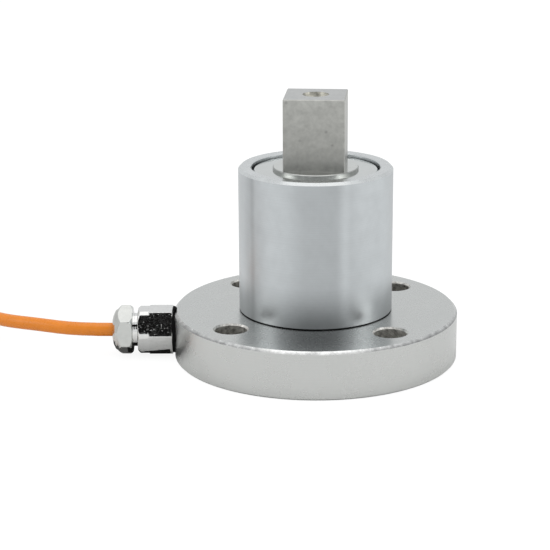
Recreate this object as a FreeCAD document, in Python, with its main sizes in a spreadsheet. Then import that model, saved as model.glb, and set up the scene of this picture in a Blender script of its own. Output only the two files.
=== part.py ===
import FreeCAD, Part
import math
import os
import Sketcher
from FreeCAD import Placement, Rotation, Vector

# Static torque sensor: bolted flange, torsion shaft under a dust sleeve, square drive, cable gland

# Driving dimensions, in millimetres, degrees and counts
SIZES = [
    # Flange
    ("flange_diameter", 104),
    ("flange_thickness", 17.6),
    ("flange_edge_chamfer", 1),
    ("flange_base_chamfer", 0.5),
    ("pilot_diameter", 30),
    ("pilot_depth", 3),
    ("bolt_hole_diameter", 11.5),
    ("bolt_hole_chamfer", 0.6),
    ("bolt_angle", 45),
    ("bolt_count", 4),
    # Torsion shaft inside the sleeve
    ("register_height", 3),
    ("register_clearance", 0.05),
    ("board_ledge_width", 3),
    ("board_ledge_height", 4),
    ("neck_height", 4),
    ("waist_diameter", 20),
    ("waist_length", 27),
    ("waist_shoulder", 2),
    ("waist_fillet", 1.8),
    ("head_diameter", 30),
    # Top disc, boss and square drive
    ("disc_thickness", 8),
    ("disc_recess", 1.2),
    ("disc_chamfer", 0.3),
    ("ring_gap", 0.85),
    ("boss_diameter", 31),
    ("boss_height", 1.1),
    ("boss_chamfer", 0.3),
    ("square_side", 22),
    ("square_length", 26.1),
    ("square_edge_chamfer", 0.3),
    ("centre_hole_diameter", 9.6),
    ("centre_hole_pilot", 4),
    ("centre_hole_pilot_depth", 4),
    ("centre_hole_cone", 60),
    # Dust sleeve and its seals
    ("sleeve_diameter", 56),
    ("sleeve_length", 53),
    ("sleeve_wall", 3),
    ("sleeve_edge_chamfer", 1),
    ("sleeve_lip_bore", 46.6),
    ("sleeve_lip_height", 5),
    ("sleeve_lip_chamfer", 0.4),
    ("foot_gasket_thickness", 0.4),
    ("foot_gasket_inset", 0.25),
    ("seal_section", 2),
    ("seal_depth", 3),
    ("seal_groove_play", 0.3),
    ("seal_clearance", 0.02),
    # Cable gland, measured along its own axis from the sensor's axis
    ("gland_azimuth", 185),
    ("gland_height", 9.25),
    ("gland_flats", 16),
    ("gland_thread", 12),
    ("gland_thread_depth", 10),
    ("gland_thread_clearance", 0.05),
    ("gland_gasket_diameter", 17.2),
    ("gland_gasket_thickness", 0.6),
    ("gland_body_length", 12.8),
    ("gland_body_turned", 4.2),
    ("gland_body_turned_cut", 0.45),
    ("gland_end_chamfer", 0.8),
    ("gland_neck_diameter", 11.8),
    ("gland_neck_length", 6.8),
    ("gland_counterbore", 10.6),
    ("gland_counterbore_depth", 10),
    ("gland_nut_gap", 2),
    ("gland_nut_hex_length", 5.6),
    ("gland_nut_dome_length", 1.9),
    ("gland_nut_dome_diameter", 15.4),
    ("gland_nut_mouth_diameter", 6.2),
    ("gland_nut_turn", 34),
    ("gland_nut_back_chamfer", 1),
    ("cage_wall", 1),
    ("cage_slot_width", 1),
    ("cage_slot_length", 5),
    ("cage_slot_count", 8),
    ("gland_play", 0.1),
    # Wire passage through the flange
    ("passage_diameter", 7),
    ("riser_distance", 19.5),
    ("riser_diameter", 6),
    # Strain gauges, terminals and compensation board
    ("gauge_count", 4),
    ("gauge_height", 9),
    ("gauge_spread", 48),
    ("gauge_thickness", 0.15),
    ("terminal_height", 3),
    ("terminal_spread", 24),
    ("terminal_thickness", 0.3),
    ("terminal_drop", 7),
    ("board_diameter", 46),
    ("board_thickness", 1.6),
    ("board_clearance", 0.1),
    ("resistor_length", 3.2),
    ("resistor_width", 1.6),
    ("resistor_height", 0.6),
    ("resistor_circle", 38),
    # Cable and its cores
    ("cable_diameter", 5),
    ("sheath_end_distance", 31),
    ("core_diameter", 1.2),
    ("core_pitch", 1.4),
    ("core_bend_radius", 2.5),
    ("gauge_lead_diameter", 0.5),
    ("gauge_lead_reach", 2),
    # Cable coil, its ties and the stripped far end
    ("cable_exit_run", 14),
    ("coil_centre_x", -176.75),
    ("coil_centre_y", 42),
    ("coil_turn_diameter", 57.5),
    ("coil_rows", 4),
    ("coil_columns", 5),
    ("coil_corner", 2),
    ("tie_width", 5),
    ("tie_thickness", 0.8),
    ("end_sleeve_diameter", 6),
    ("end_sleeve_length", 14),
    ("end_sleeve_overlap", 5),
    ("lead_straight_run", 6),
    ("lead_bend_reach", 14),
    ("lead_length", 23),
    ("lead_spread", 4.7),
    ("lead_drop", 1.1),
    ("tip_diameter", 0.8),
    ("tip_length", 6),
]

document = FreeCAD.newDocument("static_torque_sensor")
sheet = document.addObject("Spreadsheet::Sheet", "size")
for row, (alias, number) in enumerate(SIZES, start=1):
    sheet.set("A%d" % row, alias.replace("_", " "))
    sheet.set("B%d" % row, str(number))
    sheet.setAlias("B%d" % row, alias)
document.recompute()

# Lengths that follow from the driving dimensions, as expressions
FLANGE_RADIUS = "size.flange_diameter / 2"
FLANGE_TOP = "size.flange_thickness"
SLEEVE_RADIUS = "size.sleeve_diameter / 2"
BOLT_CIRCLE = "((%s + %s) / 2)" % (FLANGE_RADIUS, SLEEVE_RADIUS)
SLEEVE_BORE = "(size.sleeve_diameter / 2 - size.sleeve_wall)"
SLEEVE_FOOT = "(size.flange_thickness + size.foot_gasket_thickness)"
SLEEVE_TOP = "(%s + size.sleeve_length)" % SLEEVE_FOOT
LIP_RADIUS = "size.sleeve_lip_bore / 2"
REGISTER_TOP = "(size.flange_thickness + size.register_height)"
REGISTER_RADIUS = "(%s - size.register_clearance)" % SLEEVE_BORE
BOARD_SEAT = "(%s + size.board_ledge_height)" % REGISTER_TOP
NECK_RADIUS = "(size.waist_diameter / 2 + size.waist_shoulder)"
WAIST_FOOT = "(%s + size.neck_height)" % BOARD_SEAT
WAIST_HEAD = "(%s + size.waist_length)" % WAIST_FOOT
DISC_TOP = "(%s - size.disc_recess)" % SLEEVE_TOP
DISC_FOOT = "(%s - size.disc_thickness)" % DISC_TOP
DISC_RADIUS = "(size.sleeve_lip_bore / 2 - size.ring_gap)"
BOSS_TOP = "(%s + size.boss_height)" % DISC_TOP
SQUARE_TOP = "(%s + size.square_length)" % BOSS_TOP
SEAL_HEIGHT = "(%s - size.seal_depth)" % DISC_TOP
SEAL_OUTER = "(size.sleeve_lip_bore / 2 - size.seal_clearance)"
SEAL_FLOOR = "(%s - size.seal_section - size.seal_clearance)" % SEAL_OUTER
GASKET_FACE = "(size.flange_diameter / 2 + size.gland_gasket_thickness)"
GLAND_SHOULDER = "(%s + size.gland_body_length)" % GASKET_FACE
GLAND_NECK_END = "(%s + size.gland_neck_length)" % GLAND_SHOULDER
GLAND_SPIGOT_END = "(%s - size.gland_thread_depth)" % FLANGE_RADIUS
NUT_BACK = "(%s + size.gland_nut_gap)" % GLAND_SHOULDER
NUT_HEX_END = "(%s + size.gland_nut_hex_length)" % NUT_BACK
NUT_FRONT = "(%s + size.gland_nut_dome_length)" % NUT_HEX_END
CAGE_BACK = "(%s - size.gland_counterbore_depth)" % GLAND_NECK_END
CAGE_RADIUS = "(size.gland_counterbore / 2 - size.gland_play)"
CAGE_BORE = "(%s - size.cage_wall)" % CAGE_RADIUS
GAUGE_FOOT = "(%s + size.waist_length / 2 - size.gauge_height / 2)" % WAIST_FOOT
TERMINAL_FOOT = "(%s - size.terminal_drop)" % GAUGE_FOOT
BOARD_TOP = "(%s + size.board_thickness)" % BOARD_SEAT


def value(expression):
    """The number that an expression over the sheet gives."""
    return float(sheet.evalExpression(expression))


# Helpers for sketched features

def origin_feature(body, role):
    return next(item for item in body.Origin.OriginFeatures if item.Role == role)


def new_body(label):
    body = document.addObject("PartDesign::Body", label)
    body.Label = label
    return body


def bind(item, **expressions):
    """Ties properties of an object to expressions; a double underscore stands for a dot."""
    for path, expression in expressions.items():
        item.setExpression(path.replace("__", "."), expression)


def place_point(sketch, line, expression_x, expression_y):
    """Holds the start of a line at a distance along and up from the sketch's origin."""
    for kind, expression, axis in (("DistanceX", expression_x, -2), ("DistanceY", expression_y, -1)):
        if expression == "0":
            sketch.addConstraint(Sketcher.Constraint("PointOnObject", line, 1, axis))
            continue
        index = sketch.addConstraint(Sketcher.Constraint(kind, -1, 1, line, 1, value(expression)))
        sketch.setExpression("Constraints[%d]" % index, expression)


def outline(body, name, corners, role="XZ_Plane"):
    """A closed sketch of straight lines whose corners are pairs of expressions."""
    sketch = body.newObject("Sketcher::SketchObject", name)
    sketch.AttachmentSupport = [(origin_feature(body, role), "")]
    sketch.MapMode = "FlatFace"
    points = [Vector(value(x), value(y), 0) for x, y in corners]
    count = len(points)
    for index in range(count):
        sketch.addGeometry(Part.LineSegment(points[index], points[(index + 1) % count]))
    for index in range(count):
        following = (index + 1) % count
        sketch.addConstraint(Sketcher.Constraint("Coincident", index, 2, following, 1))
    for index, (x, y) in enumerate(corners):
        place_point(sketch, index, x, y)
    return sketch


def spin(body, kind, name, sketch, axis):
    """A full revolution or groove of a sketch about one of its own axes."""
    feature = body.newObject("PartDesign::" + kind, name)
    feature.Profile = sketch
    feature.ReferenceAxis = (sketch, [axis])
    feature.Angle = 360
    sketch.Visibility = False
    document.recompute()
    return feature


def primitive(body, kind, name, role, **expressions):
    """An additive or subtractive primitive attached to one of the body's origin planes."""
    feature = body.newObject("PartDesign::" + kind, name)
    feature.AttachmentSupport = [(origin_feature(body, role), "")]
    feature.MapMode = "FlatFace"
    bind(feature, **expressions)
    document.recompute()
    return feature


def circle_edges(feature, radius, height=None, along="z"):
    """Names of the circular edges of a feature with a radius and, if given, a place along an axis."""
    names = []
    for index, edge in enumerate(feature.Shape.Edges, start=1):
        curve = edge.Curve
        if not isinstance(curve, Part.Circle) or abs(curve.Radius - radius) > 1e-4:
            continue
        if height is None or abs(getattr(curve.Center, along) - height) < 1e-4:
            names.append("Edge%d" % index)
    return names


def dress(body, kind, name, base, edges, expression):
    """A chamfer or fillet on named edges of a feature."""
    feature = body.newObject("PartDesign::" + kind, name)
    feature.Base = (base, edges)
    bind(feature, **{"Size" if kind == "Chamfer" else "Radius": expression})
    document.recompute()
    return feature


def aim_at_gland(item):
    """Turns a piece, drawn along +X at height zero, to the gland's azimuth and height."""
    item.Placement = Placement(Vector(0, 0, value("size.gland_height")),
                               Rotation(Vector(0, 0, 1), value("size.gland_azimuth")))
    bind(item, Placement__Base__z="size.gland_height",
         Placement__Rotation__Angle="size.gland_azimuth * 1deg")


# The machined body: flange, register, torsion shaft, disc, boss and square drive in one piece

def make_torsion_body():
    body = new_body("torsion_body")
    corners = [
        ("0", "size.pilot_depth"),
        ("size.pilot_diameter / 2", "size.pilot_depth"),
        ("size.pilot_diameter / 2", "0"),
        (FLANGE_RADIUS + " - size.flange_base_chamfer", "0"),
        (FLANGE_RADIUS, "size.flange_base_chamfer"),
        (FLANGE_RADIUS, FLANGE_TOP + " - size.flange_edge_chamfer"),
        (FLANGE_RADIUS + " - size.flange_edge_chamfer", FLANGE_TOP),
        (REGISTER_RADIUS, FLANGE_TOP),
        (REGISTER_RADIUS, REGISTER_TOP),
        (NECK_RADIUS + " + size.board_ledge_width", REGISTER_TOP),
        (NECK_RADIUS + " + size.board_ledge_width", BOARD_SEAT),
        (NECK_RADIUS, BOARD_SEAT),
        (NECK_RADIUS, WAIST_FOOT),
        ("size.waist_diameter / 2", WAIST_FOOT),
        ("size.waist_diameter / 2", WAIST_HEAD),
        (NECK_RADIUS, WAIST_HEAD),
        ("size.head_diameter / 2", "%s + size.head_diameter / 2 - %s" % (WAIST_HEAD, NECK_RADIUS)),
        ("size.head_diameter / 2", DISC_FOOT),
        (DISC_RADIUS, DISC_FOOT),
        (DISC_RADIUS, SEAL_HEIGHT + " - size.seal_section / 2 - size.seal_groove_play / 2"),
        (SEAL_FLOOR, SEAL_HEIGHT + " - size.seal_section / 2 - size.seal_groove_play / 2"),
        (SEAL_FLOOR, SEAL_HEIGHT + " + size.seal_section / 2 + size.seal_groove_play / 2"),
        (DISC_RADIUS, SEAL_HEIGHT + " + size.seal_section / 2 + size.seal_groove_play / 2"),
        (DISC_RADIUS, DISC_TOP + " - size.disc_chamfer"),
        (DISC_RADIUS + " - size.disc_chamfer", DISC_TOP),
        ("size.boss_diameter / 2", DISC_TOP),
        ("size.boss_diameter / 2", BOSS_TOP + " - size.boss_chamfer"),
        ("size.boss_diameter / 2 - size.boss_chamfer", BOSS_TOP),
        ("0", BOSS_TOP),
    ]
    turned = spin(body, "Revolution", "turned_form", outline(body, "turned_profile", corners), "V_Axis")
    waist_radius = value("size.waist_diameter / 2")
    ends = circle_edges(turned, waist_radius, value(WAIST_FOOT))
    ends += circle_edges(turned, waist_radius, value(WAIST_HEAD))
    dress(body, "Fillet", "waist_fillets", turned, ends, "size.waist_fillet")
    square = primitive(
        body, "AdditiveBox", "square_drive", "XY_Plane",
        Length="size.square_side", Width="size.square_side", Height="size.square_length",
        AttachmentOffset__Base__x="-size.square_side / 2",
        AttachmentOffset__Base__y="-size.square_side / 2",
        AttachmentOffset__Base__z=BOSS_TOP)
    foot, top = value(BOSS_TOP), value(SQUARE_TOP)
    edges = []
    for index, edge in enumerate(square.Shape.Edges, start=1):
        box = edge.BoundBox
        if isinstance(edge.Curve, Part.Line) and box.ZMax > top - 1e-4 and box.ZMin > foot - 1e-4:
            edges.append("Edge%d" % index)
    dress(body, "Chamfer", "square_edges", square, edges, "size.square_edge_chamfer")
    drill_centre_hole(body)
    drill_bolt_holes(body)
    bore_gland_port(body)
    return body


def drill_centre_hole(body):
    """The centre-drilled hole in the square's end: a 60 degree cone with a small pilot."""
    slope = "tan(size.centre_hole_cone / 2 * 1deg)"
    cone_depth = "(size.centre_hole_diameter - size.centre_hole_pilot) / 2 / " + slope
    cone_foot = "%s - %s" % (SQUARE_TOP, cone_depth)
    corners = [
        ("0", SQUARE_TOP),
        ("size.centre_hole_diameter / 2", SQUARE_TOP),
        ("size.centre_hole_pilot / 2", cone_foot),
        ("size.centre_hole_pilot / 2", cone_foot + " - size.centre_hole_pilot_depth"),
        ("0", cone_foot + " - size.centre_hole_pilot_depth"),
    ]
    sketch = outline(body, "centre_hole_profile", corners)
    spin(body, "Groove", "centre_hole", sketch, "V_Axis")


def drill_bolt_holes(body):
    sketch = body.newObject("Sketcher::SketchObject", "bolt_hole_sketch")
    sketch.AttachmentSupport = [(origin_feature(body, "XY_Plane"), "")]
    sketch.MapMode = "FlatFace"
    across = BOLT_CIRCLE + " * cos(size.bolt_angle * 1deg)"
    along = BOLT_CIRCLE + " * sin(size.bolt_angle * 1deg)"
    radius = value("size.bolt_hole_diameter / 2")
    centre = Vector(value(across), value(along), 0)
    sketch.addGeometry(Part.Circle(centre, Vector(0, 0, 1), radius))
    for constraint, expression in (
            (Sketcher.Constraint("Radius", 0, radius), "size.bolt_hole_diameter / 2"),
            (Sketcher.Constraint("DistanceX", -1, 1, 0, 3, centre.x), across),
            (Sketcher.Constraint("DistanceY", -1, 1, 0, 3, centre.y), along)):
        index = sketch.addConstraint(constraint)
        sketch.setExpression("Constraints[%d]" % index, expression)
    pocket = body.newObject("PartDesign::Pocket", "bolt_hole")
    pocket.Profile = sketch
    pocket.Type = "Length"
    pocket.Reversed = True
    bind(pocket, Length=FLANGE_TOP)
    document.recompute()
    pattern = body.newObject("PartDesign::PolarPattern", "bolt_holes")
    pattern.Originals = [pocket]
    pattern.Axis = (origin_feature(body, "Z_Axis"), [""])
    pattern.Angle = 360
    bind(pattern, Occurrences="size.bolt_count")
    body.Tip = pattern
    document.recompute()
    rims = circle_edges(pattern, radius)
    dress(body, "Chamfer", "bolt_hole_rims", pattern, rims, "size.bolt_hole_chamfer")


def bore_gland_port(body):
    """The tapped gland port, the wire passage behind it and the riser into the sleeve."""
    thread = "(size.gland_thread / 2 + size.gland_thread_clearance)"
    floor = "(%s - size.gland_thread_clearance)" % GLAND_SPIGOT_END
    corners = [
        ("size.riser_distance - size.riser_diameter / 2", "0"),
        ("size.riser_distance - size.riser_diameter / 2", "size.passage_diameter / 2"),
        (floor, "size.passage_diameter / 2"),
        (floor, thread),
        (FLANGE_RADIUS + " + size.flange_edge_chamfer", thread),
        (FLANGE_RADIUS + " + size.flange_edge_chamfer", "0"),
    ]
    sketch = outline(body, "gland_port_profile", corners)
    sketch.AttachmentOffset = Placement(Vector(0, value("size.gland_height"), 0),
                                        Rotation(Vector(0, 1, 0), value("size.gland_azimuth")))
    bind(sketch, AttachmentOffset__Base__y="size.gland_height",
         AttachmentOffset__Rotation__Angle="size.gland_azimuth * 1deg")
    spin(body, "Groove", "gland_port", sketch, "H_Axis")
    primitive(
        body, "SubtractiveCylinder", "wire_riser", "XY_Plane",
        Radius="size.riser_diameter / 2",
        Height="%s - size.gland_height" % REGISTER_TOP,
        AttachmentOffset__Base__x="size.riser_distance * cos(size.gland_azimuth * 1deg)",
        AttachmentOffset__Base__y="size.riser_distance * sin(size.gland_azimuth * 1deg)",
        AttachmentOffset__Base__z="size.gland_height")


# The dust sleeve with its inward lip, its foot gasket and the seal in the ring gap

def make_outer_sleeve():
    body = new_body("outer_sleeve")
    lip_foot = "(%s - size.sleeve_lip_height)" % SLEEVE_TOP
    corners = [
        (SLEEVE_BORE, SLEEVE_FOOT),
        (SLEEVE_RADIUS, SLEEVE_FOOT),
        (SLEEVE_RADIUS, SLEEVE_TOP + " - size.sleeve_edge_chamfer"),
        (SLEEVE_RADIUS + " - size.sleeve_edge_chamfer", SLEEVE_TOP),
        (LIP_RADIUS + " + size.sleeve_lip_chamfer", SLEEVE_TOP),
        (LIP_RADIUS, SLEEVE_TOP + " - size.sleeve_lip_chamfer"),
        (LIP_RADIUS, lip_foot),
        (SLEEVE_BORE, "%s - (%s - %s)" % (lip_foot, SLEEVE_BORE, LIP_RADIUS)),
    ]
    spin(body, "Revolution", "sleeve_form", outline(body, "sleeve_profile", corners), "V_Axis")
    return body


def make_sleeve_gasket():
    body = new_body("sleeve_gasket")
    outer = "%s - size.foot_gasket_inset" % SLEEVE_RADIUS
    corners = [
        (SLEEVE_BORE, FLANGE_TOP),
        (outer, FLANGE_TOP),
        (outer, SLEEVE_FOOT),
        (SLEEVE_BORE, SLEEVE_FOOT),
    ]
    spin(body, "Revolution", "gasket_form", outline(body, "gasket_profile", corners), "V_Axis")
    return body


def make_shaft_seal():
    seal = document.addObject("Part::Torus", "shaft_seal")
    seal.Label = "shaft_seal"
    bind(seal, Radius1=SEAL_OUTER + " - size.seal_section / 2", Radius2="size.seal_section / 2",
         Placement__Base__z=SEAL_HEIGHT)
    return seal


# The cable gland, each piece drawn along +X and then aimed at the gland's azimuth

def make_gland_gasket():
    """A rubber washer pressed to the flange's round side, so its inner face is a saddle."""
    washer = document.addObject("Part::Cylinder", "gasket_washer")
    bind(washer, Radius="size.gland_gasket_diameter / 2", Height=GASKET_FACE)
    hole = document.addObject("Part::Cylinder", "gasket_hole")
    bind(hole, Radius="size.gland_thread / 2 + size.gland_thread_clearance", Height=GASKET_FACE)
    for item in (washer, hole):
        item.Placement = Placement(Vector(0, 0, 0), Rotation(Vector(0, 1, 0), 90))
    seat = document.addObject("Part::Cylinder", "gasket_seat")
    bind(seat, Radius=FLANGE_RADIUS, Height="2 * size.flange_thickness",
         Placement__Base__z="-size.flange_thickness")
    ring = document.addObject("Part::Cut", "gasket_ring")
    ring.Base, ring.Tool = washer, hole
    gasket = document.addObject("Part::Cut", "gland_gasket")
    gasket.Base, gasket.Tool = ring, seat
    gasket.Label = "gland_gasket"
    aim_at_gland(gasket)
    return gasket


def hexagon(body, name, start, length, turn):
    """A hexagonal prism along +X whose first corner stands at an angle above horizontal."""
    prism = primitive(
        body, "AdditivePrism", name, "YZ_Plane",
        Polygon="6", Circumradius="size.gland_flats / sqrt(3)", Height=length,
        AttachmentOffset__Base__z=start)
    prism.AttachmentOffset = Placement(Vector(0, 0, value(start)),
                                       Rotation(Vector(0, 0, 1), value(turn)))
    bind(prism, AttachmentOffset__Rotation__Angle="(%s) * 1deg" % turn)
    document.recompute()
    return prism


def make_gland_body():
    body = new_body("gland_body")
    corner = "size.gland_flats / sqrt(3)"
    hexagon(body, "body_hexagon", GASKET_FACE, "size.gland_body_length", "0")
    neck = "size.gland_neck_diameter / 2"
    stem = [
        (GLAND_SPIGOT_END, "0"),
        (GLAND_SPIGOT_END, "size.gland_thread / 2"),
        (GASKET_FACE, "size.gland_thread / 2"),
        (GASKET_FACE, neck),
        (GLAND_NECK_END, neck),
        (GLAND_NECK_END, "0"),
    ]
    spin(body, "Revolution", "stem", outline(body, "stem_profile", stem), "H_Axis")
    turned = "(%s - size.gland_body_turned_cut)" % corner
    turning = [
        (GLAND_SHOULDER + " - size.gland_body_turned", "size.gland_flats"),
        (GLAND_SHOULDER + " - size.gland_body_turned", turned),
        (GLAND_SHOULDER + " - size.gland_end_chamfer", turned),
        (GLAND_SHOULDER, turned + " - size.gland_end_chamfer"),
        (GLAND_SHOULDER, "size.gland_flats"),
    ]
    spin(body, "Groove", "turned_end", outline(body, "turned_end_profile", turning), "H_Axis")
    bore = "size.cable_diameter / 2 + 2 * size.gland_play"
    bores = [
        (GLAND_SPIGOT_END, "0"),
        (GLAND_SPIGOT_END, bore),
        (CAGE_BACK, bore),
        (CAGE_BACK, "size.gland_counterbore / 2"),
        (GLAND_NECK_END, "size.gland_counterbore / 2"),
        (GLAND_NECK_END, "0"),
    ]
    spin(body, "Groove", "bore", outline(body, "bore_profile", bores), "H_Axis")
    aim_at_gland(body)
    return body


def make_gland_nut():
    body = new_body("gland_nut")
    hexagon(body, "nut_hexagon", NUT_BACK, "size.gland_nut_hex_length", "size.gland_nut_turn")
    dome_radius = "size.gland_nut_dome_diameter / 2"
    mouth = "size.gland_nut_mouth_diameter / 2"
    dome = [
        (NUT_HEX_END, "0"),
        (NUT_HEX_END, dome_radius),
        (NUT_HEX_END + " + size.gland_nut_dome_length * 0.4", dome_radius + " * 0.93"),
        (NUT_HEX_END + " + size.gland_nut_dome_length * 0.8", dome_radius + " * 0.74"),
        (NUT_FRONT, dome_radius + " * 0.56"),
        (NUT_FRONT, "0"),
    ]
    spin(body, "Revolution", "dome", outline(body, "dome_profile", dome), "H_Axis")
    corner = "size.gland_flats / sqrt(3)"
    back = [
        (NUT_BACK, "size.gland_flats"),
        (NUT_BACK, corner + " - size.gland_nut_back_chamfer"),
        (NUT_BACK + " + size.gland_nut_back_chamfer", corner),
        (NUT_BACK + " + size.gland_nut_back_chamfer", "size.gland_flats"),
    ]
    spin(body, "Groove", "back_chamfer", outline(body, "back_chamfer_profile", back), "H_Axis")
    front = [
        (NUT_HEX_END, "size.gland_flats"),
        (NUT_HEX_END, dome_radius),
        (NUT_HEX_END + " - (%s - %s)" % (corner, dome_radius), corner),
        (NUT_HEX_END + " - (%s - %s)" % (corner, dome_radius), "size.gland_flats"),
    ]
    spin(body, "Groove", "front_chamfer", outline(body, "front_chamfer_profile", front), "H_Axis")
    thread = "size.gland_neck_diameter / 2 + size.gland_thread_clearance"
    seat_start = "(%s + size.gland_play)" % GLAND_NECK_END
    inside = [
        (NUT_BACK, "0"),
        (NUT_BACK, thread),
        (seat_start, thread),
        (seat_start, "size.gland_counterbore / 2"),
        (NUT_FRONT + " - size.cage_wall", mouth),
        (NUT_FRONT, mouth),
        (NUT_FRONT, "0"),
    ]
    spin(body, "Groove", "inside", outline(body, "inside_profile", inside), "H_Axis")
    aim_at_gland(body)
    return body


def make_gland_cage():
    """The slotted clamping cage that the nut's cone closes round the rubber insert."""
    body = new_body("gland_cage")
    ring = [
        (CAGE_BACK, CAGE_BORE),
        (CAGE_BACK, CAGE_RADIUS),
        (GLAND_NECK_END, CAGE_RADIUS),
        (GLAND_NECK_END, CAGE_BORE),
    ]
    spin(body, "Revolution", "cage_ring", outline(body, "cage_profile", ring), "H_Axis")
    slot = primitive(
        body, "SubtractiveBox", "cage_slot", "YZ_Plane",
        Length=CAGE_RADIUS + " * 2", Width="size.cage_slot_width", Height="size.cage_slot_length",
        AttachmentOffset__Base__y="-size.cage_slot_width / 2",
        AttachmentOffset__Base__z=GLAND_NECK_END + " - size.cage_slot_length")
    pattern = body.newObject("PartDesign::PolarPattern", "cage_slots")
    pattern.Originals = [slot]
    pattern.Axis = (origin_feature(body, "X_Axis"), [""])
    pattern.Angle = 360
    bind(pattern, Occurrences="size.cage_slot_count")
    body.Tip = pattern
    document.recompute()
    aim_at_gland(body)
    return body


def make_gland_insert():
    body = new_body("gland_insert")
    inner = "size.cable_diameter / 2"
    outer = CAGE_BORE
    corners = [
        (CAGE_BACK, inner),
        (CAGE_BACK, outer),
        (GLAND_NECK_END, outer),
        (GLAND_NECK_END, inner),
    ]
    spin(body, "Revolution", "insert_form", outline(body, "insert_profile", corners), "H_Axis")
    aim_at_gland(body)
    return body


# Strain gauges and solder terminals bonded round the waist

def shaft_patch(label, azimuth, foot, height, spread, thickness):
    """A thin patch that follows the waist's round surface."""
    outer = document.addObject("Part::Cylinder", label + "_outer")
    bind(outer, Radius="size.waist_diameter / 2 + " + thickness, Height=height,
         Angle="%s * 1deg" % spread)
    inner = document.addObject("Part::Cylinder", label + "_inner")
    bind(inner, Radius="size.waist_diameter / 2", Height=height)
    patch = document.addObject("Part::Cut", label)
    patch.Base, patch.Tool = outer, inner
    patch.Label = label
    turn = "%s - %s / 2" % (azimuth, spread)
    patch.Placement = Placement(Vector(0, 0, value(foot)), Rotation(Vector(0, 0, 1), value(turn)))
    bind(patch, Placement__Base__z=foot, Placement__Rotation__Angle="(%s) * 1deg" % turn)
    return patch


def make_gauges():
    patches = []
    for index in range(int(value("size.gauge_count"))):
        azimuth = "size.bolt_angle + %d * 360 / size.gauge_count" % index
        patches.append(shaft_patch("strain_gauge_%d" % (index + 1), azimuth, GAUGE_FOOT,
                                   "size.gauge_height", "size.gauge_spread", "size.gauge_thickness"))
        patches.append(shaft_patch("terminal_strip_%d" % (index + 1), azimuth, TERMINAL_FOOT,
                                   "size.terminal_height", "size.terminal_spread",
                                   "size.terminal_thickness"))
    return patches


# The compensation board round the neck and the trim resistors on it

def make_board():
    body = new_body("compensation_board")
    inner = NECK_RADIUS + " + size.board_clearance"
    corners = [
        (inner, BOARD_SEAT),
        ("size.board_diameter / 2", BOARD_SEAT),
        ("size.board_diameter / 2", BOARD_TOP),
        (inner, BOARD_TOP),
    ]
    spin(body, "Revolution", "board_form", outline(body, "board_profile", corners), "V_Axis")
    return body


def make_resistors():
    chips = []
    for index in range(int(value("size.gauge_count"))):
        chip = document.addObject("Part::Box", "resistor_%d" % (index + 1))
        azimuth = "(%d * 360 / size.gauge_count)" % index
        bind(chip, Length="size.resistor_width", Width="size.resistor_length",
             Height="size.resistor_height")
        turn = value(azimuth)
        chip.Placement = Placement(Vector(0, 0, 0), Rotation(Vector(0, 0, 1), turn))
        reach = "(size.resistor_circle / 2 - size.resistor_width / 2)"
        side = "(size.resistor_length / 2)"
        bind(chip,
             Placement__Base__x="%s * cos(%s * 1deg) + %s * sin(%s * 1deg)" % (reach, azimuth, side, azimuth),
             Placement__Base__y="%s * sin(%s * 1deg) - %s * cos(%s * 1deg)" % (reach, azimuth, side, azimuth),
             Placement__Base__z=BOARD_TOP,
             Placement__Rotation__Angle="%s * 1deg" % azimuth)
        chips.append(chip)
    group = document.addObject("Part::Compound", "trim_resistors")
    group.Links = chips
    group.Label = "trim_resistors"
    return group


# Wires and cords: straight runs joined by tangent arcs

def rounded_path(points, radii):
    """Lines joined by tangent arcs, one radius for each inner point."""
    edges = []
    start = points[0]
    for index in range(1, len(points) - 1):
        before, corner, after = points[index - 1], points[index], points[index + 1]
        inward = (before - corner).normalize()
        outward = (after - corner).normalize()
        half = (math.pi - inward.getAngle(outward)) / 2
        radius = radii[index - 1]
        reach = radius * math.tan(half)
        arc_start = corner + inward * reach
        arc_end = corner + outward * reach
        bisector = (inward + outward).normalize()
        middle = corner + bisector * (radius / math.cos(half) - radius)
        edges.append(Part.LineSegment(start, arc_start).toShape())
        edges.append(Part.Arc(arc_start, middle, arc_end).toShape())
        start = arc_end
    edges.append(Part.LineSegment(start, points[-1]).toShape())
    return Part.Wire(edges)


def cord_radii(points):
    """The largest arc that each corner of a free cord has room for."""
    radii = []
    for before, corner, after in zip(points, points[1:], points[2:]):
        inward, outward = before - corner, after - corner
        half = (math.pi - inward.getAngle(outward)) / 2
        radii.append(0.45 * min(inward.Length, outward.Length) / math.tan(half))
    return radii


def swept(path, radius):
    """A round section swept along a path."""
    first = path.OrderedEdges[0]
    direction = first.tangentAt(first.FirstParameter)
    section = Part.Wire(Part.makeCircle(radius, first.valueAt(first.FirstParameter), direction))
    return path.makePipeShell([section], True, True)


def add_shape(label, shape):
    feature = document.addObject("Part::Feature", label)
    feature.Label = label
    feature.Shape = shape
    feature.Placement = Placement()
    return feature


def gland_point(distance, side, up):
    """A point given along the gland's axis, across it and above it."""
    azimuth = math.radians(value("size.gland_azimuth"))
    return Vector(distance * math.cos(azimuth) - side * math.sin(azimuth),
                  distance * math.sin(azimuth) + side * math.cos(azimuth),
                  value("size.gland_height") + up)


CORE_COLOURS = ("red", "black", "green", "white")
CORE_PLACES = ((-1, 1), (1, 1), (-1, -1), (1, -1))


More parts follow.
